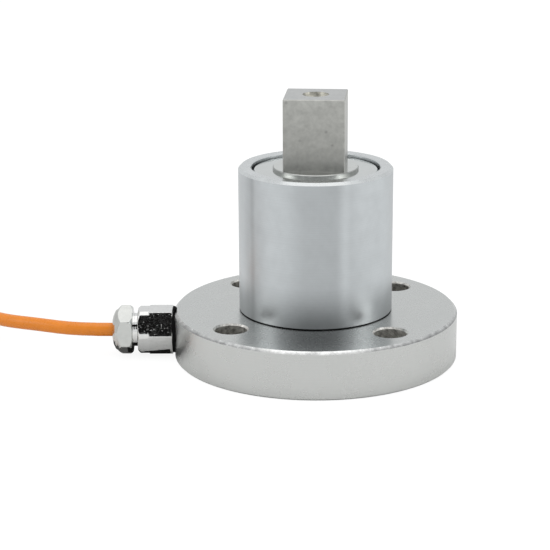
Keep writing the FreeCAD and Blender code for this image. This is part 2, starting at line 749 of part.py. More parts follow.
def make_cable_entry():
    """The sheathed cable inside the gland, from its stripped inner end to the nut's mouth."""
    entry = document.addObject("Part::Cylinder", "cable_entry")
    entry.Label = "cable_entry"
    length = "%s - size.cage_wall - size.sheath_end_distance" % NUT_FRONT
    bind(entry, Radius="size.cable_diameter / 2", Height=length)
    start = gland_point(value("size.sheath_end_distance"), 0, 0)
    turn = Rotation(Vector(0, 0, 1), value("size.gland_azimuth")) * Rotation(Vector(0, 1, 0), 90)
    entry.Placement = Placement(start, turn)
    bind(entry,
         Placement__Base__x="size.sheath_end_distance * cos(size.gland_azimuth * 1deg)",
         Placement__Base__y="size.sheath_end_distance * sin(size.gland_azimuth * 1deg)",
         Placement__Base__z="size.gland_height")
    return entry


def make_cores():
    """The four cores, from the sheath's inner end through the riser to the board's underside."""
    cores = []
    offset = value("size.core_pitch / 2")
    bend = value("size.core_bend_radius")
    riser = value("size.riser_distance")
    for colour, (side, up) in zip(CORE_COLOURS, CORE_PLACES):
        rise = gland_point(riser + up * offset, side * offset, 0)
        points = [
            gland_point(value("size.sheath_end_distance"), side * offset, up * offset),
            gland_point(riser + up * offset, side * offset, up * offset),
            Vector(rise.x, rise.y, value(BOARD_SEAT)),
        ]
        path = rounded_path(points, [bend + (1 - up) * offset])
        cores.append(add_shape("core_" + colour, swept(path, value("size.core_diameter / 2"))))
    return cores


def make_gauge_leads():
    """Fine leads from each terminal strip down to the board."""
    leads = []
    lead_radius = value("size.gauge_lead_diameter / 2")
    strip_face = value("size.waist_diameter / 2 + size.terminal_thickness")
    start_height = value(TERMINAL_FOOT + " + size.terminal_height / 2")
    board_reach = value(NECK_RADIUS + " + size.gauge_lead_reach")
    shoulder = board_reach - strip_face
    for index in range(int(value("size.gauge_count"))):
        azimuth = math.radians(value("size.bolt_angle + %d * 360 / size.gauge_count" % index))
        outward = Vector(math.cos(azimuth), math.sin(azimuth), 0)
        points = [
            outward * strip_face + Vector(0, 0, start_height),
            outward * board_reach + Vector(0, 0, start_height),
            outward * board_reach + Vector(0, 0, value(BOARD_TOP)),
        ]
        path = rounded_path(points, [shoulder * 0.6])
        leads.append(add_shape("gauge_lead_%d" % (index + 1), swept(path, lead_radius)))
    return leads


# The free cable: its route to the coil, the coil, and the stripped tail

COIL_CENTRE = Vector(value("size.coil_centre_x"), value("size.coil_centre_y"), 0)
LEAD_ROUTE = [
    (-104.0, -2.0, 9.15),
    (-118.5, 5.2, 8.0),
    (-129.0, 17.0, 6.4),
    (-135.4, 29.6, 4.5),
]
TAIL_ROUTE = [
    (-213.2, 29.5, 17.4),
    (-212.9, 18.5, 12.6),
    (-212.0, 8.0, 6.9),
    (-210.6, -3.0, 3.25),
]
TAIL_END = (-209.4, -11.0, 3.1)


def coil_half_width():
    return value("(size.coil_columns - 1) * size.cable_diameter / 2")


def coil_floor():
    """Height of the lowest turns' centre: the ties pass under the coil."""
    return value("size.tie_thickness + size.cable_diameter / 2")


def lead_points():
    mouth = value(NUT_FRONT + " - size.cage_wall")
    outer_turn = value("size.coil_turn_diameter / 2") + coil_half_width()
    landing = COIL_CENTRE + Vector(outer_turn, 0, coil_floor())
    points = [gland_point(mouth, 0, 0), gland_point(mouth + value("size.cable_exit_run"), 0, 0)]
    points += [Vector(*point) for point in LEAD_ROUTE]
    return points + [landing]


def tail_points():
    last_turn = value("size.coil_turn_diameter / 2") + coil_half_width()
    last_turn -= value("size.cable_diameter / 2")
    top = coil_floor() + value("(size.coil_rows - 1) * size.cable_diameter")
    start = COIL_CENTRE + Vector(-last_turn, 0, top)
    return [start] + [Vector(*point) for point in TAIL_ROUTE] + [Vector(*TAIL_END)]


def report_cord(label, points, shape, radius):
    radii = cord_radii(points)
    path = rounded_path(points, radii)
    expected = math.pi * radius ** 2 * path.Length
    print("%s: length %.1f mm, radii %s, volume over section times length %.4f"
          % (label, path.Length, ", ".join("%.0f" % item for item in radii), shape.Volume / expected))


def make_cable():
    radius = value("size.cable_diameter / 2")
    pieces = []
    for label, points in (("cable_lead", lead_points()), ("cable_tail", tail_points())):
        shape = swept(rounded_path(points, cord_radii(points)), radius)
        report_cord(label, points, shape, radius)
        pieces.append(add_shape(label, shape))
    return pieces


def wound_ring():
    """The outer shape of the wound turns, round at its four rims."""
    half = coil_half_width() + value("size.cable_diameter / 2")
    middle = value("size.coil_turn_diameter / 2")
    height = value("size.coil_rows * size.cable_diameter")
    foot = COIL_CENTRE + Vector(0, 0, value("size.tie_thickness"))
    ring = Part.makeCylinder(middle + half, height, foot)
    ring = ring.cut(Part.makeCylinder(middle - half, height, foot))
    rims = [edge for edge in ring.Edges if isinstance(edge.Curve, Part.Circle)]
    return ring.makeFillet(value("size.coil_corner"), rims)


def make_coil(lead, tail):
    """The wound cable as one ring, cut back where its two ends run out of it."""
    ring = wound_ring().cut(lead.Shape).cut(tail.Shape)
    return add_shape("cable_coil", max(ring.Solids, key=lambda solid: solid.Volume))


TIE_AZIMUTHS = (100, 250)


def make_coil_ties():
    """Two straps that follow the coil's section all the way round."""
    thickness = value("size.tie_thickness")
    width = value("size.tie_width")
    half = coil_half_width() + value("size.cable_diameter / 2") + thickness
    height = value("size.coil_rows * size.cable_diameter") + 2 * thickness
    corner = Vector(value("size.coil_turn_diameter / 2") - half, -width / 2, 0)
    straps = []
    for azimuth in TIE_AZIMUTHS:
        block = Part.makeBox(2 * half, width, height, corner)
        rims = [edge for edge in block.Edges if abs(edge.tangentAt(edge.FirstParameter).y) > 0.99]
        block = block.makeFillet(value("size.coil_corner") + thickness, rims)
        block.rotate(Vector(0, 0, 0), Vector(0, 0, 1), azimuth)
        block.translate(COIL_CENTRE)
        straps.append(block.cut(wound_ring()))
    return add_shape("coil_ties", Part.makeCompound(straps))


def make_far_end():
    """The shrunk end sleeve and the four stripped cores with tinned tips."""
    tail = tail_points()
    forward = (tail[-1] - tail[-2]).normalize()
    side = forward.cross(Vector(0, 0, 1)).normalize()
    up = side.cross(forward)
    overlap = value("size.end_sleeve_overlap")
    length = value("size.end_sleeve_length")
    start = tail[-1] - forward * overlap
    sleeve = Part.makeCylinder(value("size.end_sleeve_diameter / 2"), length, start, forward)
    socket = Part.makeCylinder(value("size.cable_diameter / 2"), overlap, start, forward)
    pieces = [add_shape("end_sleeve", sleeve.cut(socket))]
    face = start + forward * length
    offset = value("size.core_pitch / 2")
    core_radius = value("size.core_diameter / 2")
    tips = []
    for colour, (across, rise) in zip(CORE_COLOURS, CORE_PLACES):
        begin = face + side * (across * offset) + up * (rise * offset)
        outward = side * (across * value("size.lead_spread") * (1 + rise * 0.4))
        downward = up * (-value("size.lead_drop") * (1 + rise * 0.45))
        points = [
            begin,
            begin + forward * value("size.lead_straight_run"),
            begin + forward * value("size.lead_bend_reach") + outward * 0.35 + downward * 0.55,
            begin + forward * value("size.lead_length") + outward + downward,
        ]
        path = rounded_path(points, cord_radii(points))
        pieces.append(add_shape("lead_" + colour, swept(path, core_radius)))
        heading = (points[-1] - points[-2]).normalize()
        tips.append(Part.makeCylinder(value("size.tip_diameter / 2"), value("size.tip_length"),
                                      points[-1], heading))
    pieces.append(add_shape("tinned_tips", Part.makeCompound(tips)))
    return pieces


parts = [make_torsion_body(), make_outer_sleeve(), make_sleeve_gasket(), make_shaft_seal()]
parts += [make_gland_gasket(), make_gland_body(), make_gland_cage(), make_gland_insert(), make_gland_nut()]
parts += make_gauges()
parts += [make_board(), make_resistors()]
parts += make_gauge_leads()
parts += make_cores()
parts.append(make_cable_entry())
cable = make_cable()
coil = make_coil(*cable)
parts += cable
parts += [coil, make_coil_ties()]
parts += make_far_end()
document.recompute()

for item in document.Objects:
    if "Invalid" in item.State or "Error" in item.State:
        raise RuntimeError("%s failed: %s" % (item.Label, item.State))
for item in parts:
    if item.Shape.isNull() or not item.Shape.isValid():
        raise RuntimeError("%s has no valid shape" % item.Label)

os.makedirs("parts", exist_ok=True)
for item in parts:
    item.Shape.exportStep(os.path.join("parts", item.Label + ".step"))
    box = item.Shape.BoundBox
    print("%-20s solids %d, volume %.1f, x %.1f to %.1f, y %.1f to %.1f, z %.2f to %.2f"
          % (item.Label, len(item.Shape.Solids), item.Shape.Volume,
             box.XMin, box.XMax, box.YMin, box.YMax, box.ZMin, box.ZMax))
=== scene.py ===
import math

import bmesh
import bpy
from mathutils import Matrix, Vector


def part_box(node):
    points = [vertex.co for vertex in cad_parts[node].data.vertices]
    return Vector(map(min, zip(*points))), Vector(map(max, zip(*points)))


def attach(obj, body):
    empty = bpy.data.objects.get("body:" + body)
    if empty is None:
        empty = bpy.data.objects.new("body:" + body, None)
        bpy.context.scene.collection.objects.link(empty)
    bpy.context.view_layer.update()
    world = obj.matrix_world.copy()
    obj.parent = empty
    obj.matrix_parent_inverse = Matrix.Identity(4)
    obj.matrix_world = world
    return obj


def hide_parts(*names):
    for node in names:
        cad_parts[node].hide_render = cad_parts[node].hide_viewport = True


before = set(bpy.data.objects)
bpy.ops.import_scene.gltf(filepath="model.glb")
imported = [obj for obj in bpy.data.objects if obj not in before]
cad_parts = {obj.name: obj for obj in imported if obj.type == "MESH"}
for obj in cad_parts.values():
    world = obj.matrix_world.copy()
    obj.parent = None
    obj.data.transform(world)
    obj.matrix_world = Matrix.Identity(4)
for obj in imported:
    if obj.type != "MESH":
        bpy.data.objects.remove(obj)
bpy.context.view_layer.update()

MM = 0.001

# Sizes of the object in metres, read from the boxes of the model's parts where these give them

FLANGE_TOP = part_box("sleeve_gasket")[0].z
SLEEVE_FOOT, SLEEVE_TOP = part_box("outer_sleeve")[0].z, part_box("outer_sleeve")[1].z
FLANGE_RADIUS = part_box("torsion_body")[1].x
BOLT_CIRCLE_RADIUS = 40 * MM
DISC_TOP = 69.8 * MM
BOSS_TOP = 70.9 * MM
SQUARE_TOP = 97 * MM
GLAND_AZIMUTH = math.radians(185)
GLAND_HEIGHT = 9.25 * MM


# Helpers

def mesh_object(name, bm, smooth_angle=30):
    """A riding piece from a bmesh, smooth where neighbouring faces nearly line up."""
    mesh = bpy.data.meshes.new(name)
    bm.to_mesh(mesh)
    bm.free()
    mesh.shade_smooth()
    mesh.set_sharp_from_angle(angle=math.radians(smooth_angle))
    piece = bpy.data.objects.new(name, mesh)
    bpy.context.scene.collection.objects.link(piece)
    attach(piece, "root")
    return piece


# Materials, all procedural: colours are linear, coordinates in metres

def graph(name):
    material = bpy.data.materials.new(name)
    material.use_nodes = True
    tree = material.node_tree
    return material, tree, tree.nodes["Principled BSDF"]


def add(tree, kind, settings=(), **inputs):
    """A node with its settings, constants and incoming links."""
    node = tree.nodes.new(kind)
    for key, setting in dict(settings).items():
        setattr(node, key, setting)
    for key, given in inputs.items():
        socket = node.inputs[key.replace("_", " ")]
        if isinstance(given, bpy.types.NodeSocket):
            tree.links.new(given, socket)
        else:
            socket.default_value = given
    return node


def calculate(tree, operation, first, second=0.0):
    node = tree.nodes.new("ShaderNodeMath")
    node.operation = operation
    for socket, given in zip(node.inputs, (first, second)):
        if isinstance(given, bpy.types.NodeSocket):
            tree.links.new(given, socket)
        else:
            socket.default_value = given
    return node.outputs[0]


def spread(tree, factor, low, high, start=0.3, stop=0.7):
    """A noise factor stretched from its usual range to new limits."""
    return add(tree, "ShaderNodeMapRange", Value=factor, From_Min=start, From_Max=stop,
               To_Min=low, To_Max=high).outputs["Result"]


def object_place(tree):
    return add(tree, "ShaderNodeTexCoord").outputs["Object"]


def coordinate(tree, axis):
    return add(tree, "ShaderNodeSeparateXYZ", Vector=object_place(tree)).outputs[axis]


def patches(tree, scale, detail=4, roughness=0.6, distortion=0.0):
    """Irregular patches of a size of about one over the scale."""
    return add(tree, "ShaderNodeTexNoise", Vector=object_place(tree), Scale=scale, Detail=detail,
               Roughness=roughness, Distortion=distortion).outputs[0]


def turning_marks(tree, per_metre):
    """Fine rings left by a tool that moves outward on flat faces and upward on round walls."""
    place = object_place(tree)
    flat = add(tree, "ShaderNodeVectorMath", {"operation": "MULTIPLY"})
    tree.links.new(place, flat.inputs[0])
    flat.inputs[1].default_value = (1, 1, 0)
    radius = add(tree, "ShaderNodeVectorMath", {"operation": "LENGTH"})
    tree.links.new(flat.outputs["Vector"], radius.inputs[0])
    height = add(tree, "ShaderNodeSeparateXYZ", Vector=place).outputs["Z"]
    travel = calculate(tree, "ADD", radius.outputs["Value"], height)
    turned = calculate(tree, "MULTIPLY", travel, per_metre)
    return add(tree, "ShaderNodeTexNoise", {"noise_dimensions": "1D"}, W=turned, Scale=1.0,
               Detail=3.0, Roughness=0.6).outputs[0]


def tinted(tree, colour, shade):
    """A colour made lighter or darker by a factor."""
    node = add(tree, "ShaderNodeVectorMath", {"operation": "SCALE"}, Scale=shade)
    node.inputs[0].default_value = colour
    return node.outputs["Vector"]


def relief(tree, bsdf, height, strength, depth, rounding=0):
    """Small relief over the surface, and edges rounded by a radius where one is given."""
    bump = add(tree, "ShaderNodeBump", Height=height, Strength=strength, Distance=depth)
    if rounding:
        soft_edges = add(tree, "ShaderNodeBevel", {"samples": 8}, Radius=rounding)
        tree.links.new(soft_edges.outputs["Normal"], bump.inputs["Normal"])
    tree.links.new(bump.outputs["Normal"], bsdf.inputs["Normal"])


def steel(name, colour, roughness, lines=0.05, line_density=3500, blotch=0.08, blotch_scale=160,
          bump=0.25, depth=0.00001, pits=0.0, pit_scale=420, extra=None, rounding=0):
    """Turned or ground metal: fine rings, cloudy patches and, if asked for, small pits."""
    material, tree, bsdf = graph(name)
    marks = turning_marks(tree, line_density)
    clouds = patches(tree, blotch_scale, detail=5)
    shade = calculate(tree, "MULTIPLY", spread(tree, marks, 1 - lines, 1 + lines),
                      spread(tree, clouds, 1 - blotch, 1 + blotch))
    height = marks
    if pits:
        spots = add(tree, "ShaderNodeTexVoronoi", Vector=object_place(tree), Scale=pit_scale,
                    Randomness=1.0).outputs["Distance"]
        open_pits = spread(tree, spots, 1 - pits, 1.0, 0.06, 0.2)
        shade = calculate(tree, "MULTIPLY", shade, open_pits)
        height = calculate(tree, "ADD", marks, open_pits)
    if extra:
        shade = calculate(tree, "MULTIPLY", shade, extra(tree))
    tree.links.new(tinted(tree, colour, shade), bsdf.inputs["Base Color"])
    tree.links.new(spread(tree, clouds, roughness - 0.04, roughness + 0.07),
                   bsdf.inputs["Roughness"])
    bsdf.inputs["Metallic"].default_value = 1
    relief(tree, bsdf, height, bump, depth, rounding)
    return material


def soft_goods(name, colour, roughness, blotch=0.12, scale=300, bump=0.3, depth=0.00004,
               metallic=0.0, specular=0.5):
    """Rubber, plastic, laminate or film with a faint grain."""
    material, tree, bsdf = graph(name)
    grain = patches(tree, scale, detail=4)
    tree.links.new(tinted(tree, colour, spread(tree, grain, 1 - blotch, 1 + blotch)),
                   bsdf.inputs["Base Color"])
    tree.links.new(spread(tree, grain, roughness - 0.05, roughness + 0.05),
                   bsdf.inputs["Roughness"])
    bsdf.inputs["Metallic"].default_value = metallic
    bsdf.inputs["Specular IOR Level"].default_value = specular
    relief(tree, bsdf, patches(tree, scale * 8, detail=2), bump, depth)
    return material


# Levels of the painted reflection streaks round the sleeve, by the share of a turn.
SLEEVE_REFLECTION_STREAKS = (
    (0.0, 0.9), (0.075, 1.14), (0.1, 1.02), (0.112, 0.87), (0.124, 1.04), (0.19, 1.06), (0.245, 0.9),
    (0.3, 0.86), (0.322, 1.05), (0.336, 0.97), (0.42, 1.06), (0.5, 0.9), (0.56, 1.12),
    (0.66, 0.86), (0.76, 1.1), (0.88, 0.88), (1.0, 0.9),
)


def painted_sleeve_reflections(tree):
    """Painted reflections: soft upright light and dark streaks on the ground round wall, by the
    angle round the axis.
    """
    turn = add(tree, "ShaderNodeTexGradient", {"gradient_type": "RADIAL"},
               Vector=object_place(tree)).outputs["Fac"]
    ramp = add(tree, "ShaderNodeValToRGB", Fac=turn)
    ramp.color_ramp.interpolation = "EASE"
    stops = ramp.color_ramp.elements
    for index, (position, grey) in enumerate(SLEEVE_REFLECTION_STREAKS):
        if index == 0:
            stop = stops[0]
        elif index == len(SLEEVE_REFLECTION_STREAKS) - 1:
            stop = stops[len(stops) - 1]
        else:
            stop = stops.new(position)
        stop.position = position
        half = grey / 2
        stop.color = (half, half, half, 1)
    return calculate(tree, "MULTIPLY", ramp.outputs["Color"], 2.0)


def painted_height_shade(low_height, low_shade, high_height, high_shade):
    """A painted shade that changes steadily from one height to another."""
    def build(tree):
        return spread(tree, coordinate(tree, "Z"), low_shade, high_shade, low_height, high_height)
    return build


def painted_boss_side_shade(tree):
    """Painted shade: the boss's round side is brighter at the front, under the square."""
    return spread(tree, coordinate(tree, "Y"), 0.98, 0.66, -12.5 * MM, -11 * MM)


def across(tree):
    """The distance to the left or right of the sensor's middle."""
    return calculate(tree, "ABSOLUTE", coordinate(tree, "X"))


def painted_square_reflection(tree):
    """Painted reflection of the square: the disc is darker just in front of it."""
    beside = spread(tree, across(tree), 0.72, 1.0, 10.5 * MM, 12 * MM)
    behind = spread(tree, coordinate(tree, "Y"), 0.72, 1.0, -15.5 * MM, -13.5 * MM)
    return calculate(tree, "MAXIMUM", beside, behind)


def painted_edge_highlight(tree):
    """Painted highlight: the flange's chamfer is brightest along its top, in the middle of the front
    and the back.
    """
    middle = spread(tree, across(tree), 1.08, 0.66, 8 * MM, 34 * MM)
    upper = spread(tree, coordinate(tree, "Z"), 0.72, 1.08,
                   FLANGE_TOP - 0.8 * MM, FLANGE_TOP - 0.25 * MM)
    return calculate(tree, "MULTIPLY", middle, upper)


# The sleeve's painted reflection streaks round the wall, times painted shade that darkens the wall
# towards its foot.
def sleeve_shade(tree):
    painted_shade_at_foot = painted_height_shade(SLEEVE_FOOT, 0.66, SLEEVE_FOOT + 15 * MM, 1.0)(tree)
    return calculate(tree, "MULTIPLY", painted_sleeve_reflections(tree), painted_shade_at_foot)


def woven(name, colour):
    """A strap woven from fine ribs."""
    material, tree, bsdf = graph(name)
    ribs = add(tree, "ShaderNodeTexWave", {"wave_type": "BANDS", "bands_direction": "DIAGONAL"},
               Vector=object_place(tree), Scale=700.0, Distortion=1.5, Detail=2.0).outputs["Fac"]
    tree.links.new(tinted(tree, colour, spread(tree, ribs, 0.6, 1.5, 0, 1)),
                   bsdf.inputs["Base Color"])
    bsdf.inputs["Roughness"].default_value = 0.7
    relief(tree, bsdf, ribs, 0.6, 0.0001)
    return material


FOOT_SHADE_CENTRE = (3 * MM, -40 * MM, 17.6 * MM)


def painted_shade_before_foot(tree):
    """Painted shade: the flange darkens where the sleeve's foot stands over it at the front."""
    offset = add(tree, "ShaderNodeVectorMath", {"operation": "SUBTRACT"})
    tree.links.new(object_place(tree), offset.inputs[0])
    offset.inputs[1].default_value = FOOT_SHADE_CENTRE
    away = add(tree, "ShaderNodeVectorMath", {"operation": "LENGTH"})
    tree.links.new(offset.outputs["Vector"], away.inputs[0])
    return spread(tree, away.outputs["Value"], 0.42, 1.0, 4 * MM, 30 * MM)


def dented(name, colour, roughness, rounding):
    """Bright plate with sparse small dents that sparkle."""
    material, tree, bsdf = graph(name)
    cells = add(tree, "ShaderNodeTexVoronoi", Vector=object_place(tree), Scale=2300.0,
                Randomness=1.0)
    dents = spread(tree, cells.outputs["Distance"], 1.0, 0.0, 0.0, 0.24)
    lot = add(tree, "ShaderNodeSeparateColor", Color=cells.outputs["Color"]).outputs["Red"]
    some = spread(tree, lot, 0.0, 1.0, 0.76, 0.82)
    clouds = patches(tree, 500, detail=5)
    tree.links.new(tinted(tree, colour, spread(tree, clouds, 0.95, 1.05)),
                   bsdf.inputs["Base Color"])
    tree.links.new(spread(tree, clouds, roughness - 0.03, roughness + 0.04),
                   bsdf.inputs["Roughness"])
    bsdf.inputs["Metallic"].default_value = 1
    relief(tree, bsdf, calculate(tree, "MULTIPLY", dents, some), 1.0, 0.00008, rounding)
    return material


MACHINED = steel("machined_steel", (0.6, 0.61, 0.6), 0.28)
# The flange's top carries painted shade in front of the sleeve's foot.
FLANGE_TOP_STEEL = steel("flange_face_steel", (0.605, 0.615, 0.6), 0.25, lines=0.02, blotch=0.03,
                         bump=0.04, extra=painted_shade_before_foot)
FLANGE_SIDE_STEEL = steel("flange_side_steel", (0.607, 0.612, 0.597), 0.27, lines=0.02, blotch=0.02,
                          blotch_scale=90, bump=0.04)
# The chamfer is lighter than the flange and carries a painted highlight along its top, brightest in
# the middle of the front and back.
CHAMFER_STEEL = steel("edge_steel", (0.8, 0.805, 0.795), 0.22, lines=0.1, blotch=0.3,
                      blotch_scale=420, bump=0.6, depth=0.00003, extra=painted_edge_highlight)
HOLE_STEEL = steel("drilled_steel", (0.6, 0.59, 0.56), 0.4, lines=0.25, blotch=0.5,
                   blotch_scale=600, bump=0.6, depth=0.00004)
# The disc carries a painted reflection of the square in front of it.
DISC_STEEL = steel("disc_steel", (0.63, 0.65, 0.635), 0.09, lines=0.03, blotch=0.04, bump=0.1,
                   extra=painted_square_reflection)
BOSS_STEEL = steel("boss_steel", (0.62, 0.635, 0.61), 0.12, lines=0.03, blotch=0.06, bump=0.1)
# The boss's round side carries painted shade: darker away from the front.
BOSS_SIDE_STEEL = steel("boss_side_steel", (0.56, 0.57, 0.55), 0.32, lines=0.05, blotch=0.15,
                        blotch_scale=500, extra=painted_boss_side_shade)
# The square's sides carry a painted reflection: darker towards the bottom, where they mirror the
# parts below.
SQUARE_STEEL = steel("square_steel", (0.45, 0.45, 0.425), 0.36, lines=0.02, blotch=0.14,
                     blotch_scale=420, bump=0.3, depth=0.00002, pits=0.25, pit_scale=260,
                     extra=painted_height_shade(low_height=70 * MM, low_shade=0.8,
                                     high_height=SQUARE_TOP, high_shade=1.06))
SQUARE_TOP_STEEL = steel("square_top_steel", (0.53, 0.535, 0.525), 0.32, lines=0.03, blotch=0.1,
                         blotch_scale=420)
CENTRE_HOLE_STEEL = steel("centre_drilled_steel", (0.4, 0.39, 0.34), 0.4, lines=0.25, blotch=0.5,
                          blotch_scale=700, bump=0.5, depth=0.00003)
# The sleeve's wall carries painted reflection streaks and painted shade towards its foot.
SLEEVE_STEEL = steel("sleeve_steel", (0.555, 0.58, 0.592), 0.36, lines=0.03, blotch=0.05,
                     extra=sleeve_shade)
LIP_STEEL = steel("lip_steel", (0.68, 0.7, 0.7), 0.25, lines=0.04, blotch=0.06)
BODY_NICKEL = dented("body_nickel", (0.79, 0.79, 0.775), 0.09, 0.5 * MM)
THREAD_NICKEL = steel("thread_nickel", (0.8, 0.8, 0.785), 0.07, lines=0.05, blotch=0.1,
                      blotch_scale=900, bump=0.1)
NUT_NICKEL = steel("nut_nickel", (0.61, 0.62, 0.6), 0.1, lines=0.02, blotch=0.05, blotch_scale=500,
                   bump=0.2, depth=0.00002, rounding=0.4 * MM)

BY_NODE = {
    "gland_body": BODY_NICKEL,
    "gland_nut": NUT_NICKEL,
    "sleeve_gasket": soft_goods("black_rubber", (0.004, 0.004, 0.004), 0.8, specular=0.1),
    "gland_cage": soft_goods("cage_nylon", (0.6, 0.6, 0.57), 0.45),
    "gland_insert": soft_goods("grey_rubber", (0.12, 0.12, 0.125), 0.65),
    "compensation_board": soft_goods("board_laminate", (0.03, 0.17, 0.06), 0.35, scale=900),
    "trim_resistors": soft_goods("resistor_ceramic", (0.04, 0.04, 0.04), 0.5),
    "cable_entry": soft_goods("orange_sheath", (0.72, 0.21, 0.005), 0.3, blotch=0.05, scale=220,
                              bump=0.08),
    "coil_ties": woven("black_strap", (0.02, 0.02, 0.022)),
    "end_sleeve": soft_goods("shrink_sleeve", (0.02, 0.02, 0.02), 0.5),
    "tinned_tips": steel("tinned_copper", (0.66, 0.66, 0.64), 0.35, line_density=1200, blotch=0.2,
                         blotch_scale=900, bump=0.5, depth=0.00004),
}
BY_NODE["shaft_seal"] = BY_NODE["gland_gasket"] = BY_NODE["sleeve_gasket"]
GAUGE_FILM = soft_goods("gauge_film", (0.5, 0.24, 0.05), 0.3, scale=1200)
TERMINAL = soft_goods("terminal_copper", (0.68, 0.42, 0.24), 0.35, scale=1500, metallic=1.0)
LEAD_ENAMEL = soft_goods("lead_enamel", (0.35, 0.08, 0.03), 0.3)
for index in range(1, 5):
    BY_NODE["strain_gauge_%d" % index] = GAUGE_FILM
    BY_NODE["terminal_strip_%d" % index] = TERMINAL
    BY_NODE["gauge_lead_%d" % index] = LEAD_ENAMEL
for core, tone in (("red", (0.5, 0.02, 0.015)), ("black", (0.015, 0.015, 0.015)),
                   ("green", (0.02, 0.22, 0.06)), ("white", (0.72, 0.72, 0.7))):
    insulation = soft_goods(core + "_insulation", tone, 0.4, blotch=0.08, scale=500)
    BY_NODE["core_" + core] = insulation
    BY_NODE["lead_" + core] = insulation


# Zones of the machined body

BOLT_AXES = [Vector((BOLT_CIRCLE_RADIUS * math.cos(math.radians(turn)),
                     BOLT_CIRCLE_RADIUS * math.sin(math.radians(turn))))
             for turn in (45, 135, 225, 315)]
BOLT_ZONE = 6.5 * MM
CENTRE_ZONE = 4.85 * MM
CHAMFER_ZONE = 1.1 * MM
SIDE_ZONE = 0.3 * MM
DISC_ZONE = 0.36 * MM
NEAR = 0.06 * MM
ZONES = {
    "machined": MACHINED, "bolt_hole": HOLE_STEEL, "centre_hole": CENTRE_HOLE_STEEL,
    "square": SQUARE_STEEL, "boss": BOSS_STEEL, "disc": DISC_STEEL, "edge": CHAMFER_STEEL,
    "flange_side": FLANGE_SIDE_STEEL, "flange_top": FLANGE_TOP_STEEL,
    "boss_side": BOSS_SIDE_STEEL, "square_top": SQUARE_TOP_STEEL,
}
SLEEVE_ZONES = {"wall": SLEEVE_STEEL, "lip": LIP_STEEL}


def zone_of(points, normal):
    """The zone that a face of the machined body belongs to."""
    radii = [point.xy.length for point in points]
    heights = [point.z for point in points]
    if any(all((point.xy - axis).length < BOLT_ZONE for point in points) for axis in BOLT_AXES):
        return "bolt_hole"
    if max(heights) > BOSS_TOP + NEAR:
        if max(radii) < CENTRE_ZONE:
            return "centre_hole"
        return "square_top" if normal.z > 0.9 else "square"
    if min(heights) > BOSS_TOP - NEAR and normal.z > 0.9:
        return "boss"
    if max(heights) > DISC_TOP + NEAR and min(heights) > DISC_TOP - NEAR:
        return "boss_side"
    if min(heights) > DISC_TOP - DISC_ZONE:
        return "disc"
    if min(heights) > FLANGE_TOP - CHAMFER_ZONE and min(radii) > FLANGE_RADIUS - CHAMFER_ZONE:
        return "edge"
    if abs(normal.z) < 0.3 and min(radii) > FLANGE_RADIUS - SIDE_ZONE:
        return "flange_side"
    if normal.z > 0.9 and abs(max(heights) - FLANGE_TOP) < NEAR:
        return "flange_top"
    return "machined"


def sleeve_zone_of(points, normal):
    lowest = min(point.z for point in points)
    return "lip" if lowest > SLEEVE_TOP - CHAMFER_ZONE and normal.z > 0.3 else "wall"


def paint_zones(name, zones, choose):
    """Gives each face of a CAD node the material of its zone."""
    piece = bpy.data.objects[name]
    mesh = piece.data
    mesh.materials.clear()
    order = list(zones)
    for zone in order:
        mesh.materials.append(zones[zone])
    place = piece.matrix_world
    turn = place.to_3x3()
    for face in mesh.polygons:
        points = [place @ mesh.vertices[index].co for index in face.vertices]
        face.material_index = order.index(choose(points, (turn @ face.normal).normalized()))


def dress_cad_nodes():
    for name, material in BY_NODE.items():
        piece = bpy.data.objects[name]
        piece.data.materials.clear()
        piece.data.materials.append(material)
    paint_zones("torsion_body", ZONES, zone_of)
    paint_zones("outer_sleeve", SLEEVE_ZONES, sleeve_zone_of)


# The thread on the gland's neck, between the body and the nut

THREAD_START = 65.45
THREAD_STOP = 67.35
THREAD_PITCH = 0.75
THREAD_ROOT = 6.12
THREAD_RISE = 0.05
THREAD_CORE = 5.6
THREAD_STEPS = 26
THREAD_SIDES = 96


def make_thread():
    """One closed sleeve whose outer face rises and falls along a helix."""
    bm = bmesh.new()
    rings = []
    for step in range(THREAD_STEPS + 1):
        along = THREAD_START + (THREAD_STOP - THREAD_START) * step / THREAD_STEPS
        ring = []
        for index in range(THREAD_SIDES):
            angle = 2 * math.pi * index / THREAD_SIDES
            phase = (along / THREAD_PITCH - index / THREAD_SIDES) % 1
            radius = THREAD_ROOT + THREAD_RISE * (1 - abs(2 * phase - 1))
            ring.append(bm.verts.new((along * MM, radius * math.cos(angle) * MM,
                                      radius * math.sin(angle) * MM)))
        rings.append(ring)
    for along in (THREAD_STOP, THREAD_START):
        angles = [2 * math.pi * index / THREAD_SIDES for index in range(THREAD_SIDES)]
        rings.append([bm.verts.new((along * MM, THREAD_CORE * math.cos(angle) * MM,
                                    THREAD_CORE * math.sin(angle) * MM)) for angle in angles])
    count = len(rings)
    for step in range(count):
        lower, upper = rings[step], rings[(step + 1) % count]
        for index in range(THREAD_SIDES):
            following = (index + 1) % THREAD_SIDES
            bm.faces.new((lower[index], lower[following], upper[following], upper[index]))
    bmesh.ops.recalc_face_normals(bm, faces=bm.faces)
    aim = Matrix.Translation((0, 0, GLAND_HEIGHT)) @ Matrix.Rotation(GLAND_AZIMUTH, 4, "Z")
    bmesh.ops.transform(bm, matrix=aim, verts=bm.verts)
    thread = mesh_object("gland_thread", bm, smooth_angle=50)
    thread.data.materials.append(THREAD_NICKEL)


# Stage: pale floor, soft lights and screens that only reflections see

